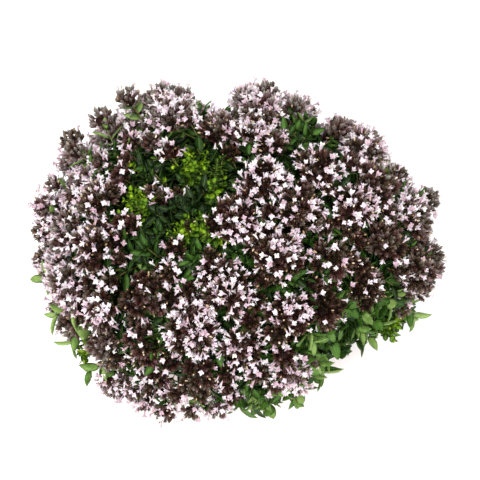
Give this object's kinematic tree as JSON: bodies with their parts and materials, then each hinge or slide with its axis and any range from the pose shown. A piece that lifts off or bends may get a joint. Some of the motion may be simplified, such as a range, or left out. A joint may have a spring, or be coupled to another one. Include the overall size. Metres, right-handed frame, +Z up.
{
  "type": "oregano plant",
  "caption": "Bushy oregano plant in bloom: a wide low mound of burgundy flower heads with pale pink florets over dark green leaves, growing in a plain round clay pot.",
  "frame": {"origin": "middle of the pot's underside, with the plant centred over it", "axes": "+Z up; +X along the mound's widest direction; -Y towards the side that the camera looks from"},
  "size_m": [0.3289, 0.292, 0.2673],
  "materials": {
    "clay": "matte",
    "soil": "matte",
    "leaf": "satin",
    "young_leaf": "satin",
    "flower": "matte"
  },
  "bodies": {
    "root": {"pot": "clay", "soil": "soil", "stem_01": "leaf", "stem_02": "leaf", "stem_03": "leaf", "stem_04": "leaf", "stem_05": "leaf", "stem_06": "leaf", "stem_07": "leaf", "stem_08": "leaf", "stem_09": "leaf", "stem_10": "leaf", "stem_11": "leaf", "stem_12": "leaf", "stem_13": "leaf", "stem_14": "leaf", "stem_15": "leaf", "stem_16": "leaf", "stem_17": "leaf", "stem_18": "leaf", "stem_19": "leaf", "stem_20": "leaf", "stem_21": "leaf", "stem_22": "leaf", "stem_23": "leaf", "stem_24": "leaf", "flowers_01": "flower", "flowers_02": "flower", "flowers_03": "flower", "flowers_04": "flower", "flowers_05": "flower", "flowers_06": "flower", "flowers_07": "flower", "flowers_08": "flower", "flowers_09": "flower", "flowers_10": "flower", "flowers_11": "flower", "flowers_12": "flower", "flowers_13": "flower", "flowers_14": "flower", "flowers_15": "flower", "flowers_16": "flower", "flowers_17": "flower", "flowers_18": "flower", "flowers_19": "flower", "flowers_20": "flower", "flowers_21": "flower", "flowers_22": "flower", "flowers_23": "flower", "flowers_24": "flower", "shoot_01": "young_leaf", "shoot_02": "young_leaf", "shoot_03": "young_leaf", "shoot_04": "young_leaf", "shoot_05": "young_leaf", "shoot_06": "young_leaf"}
  },
  "joints": []
}
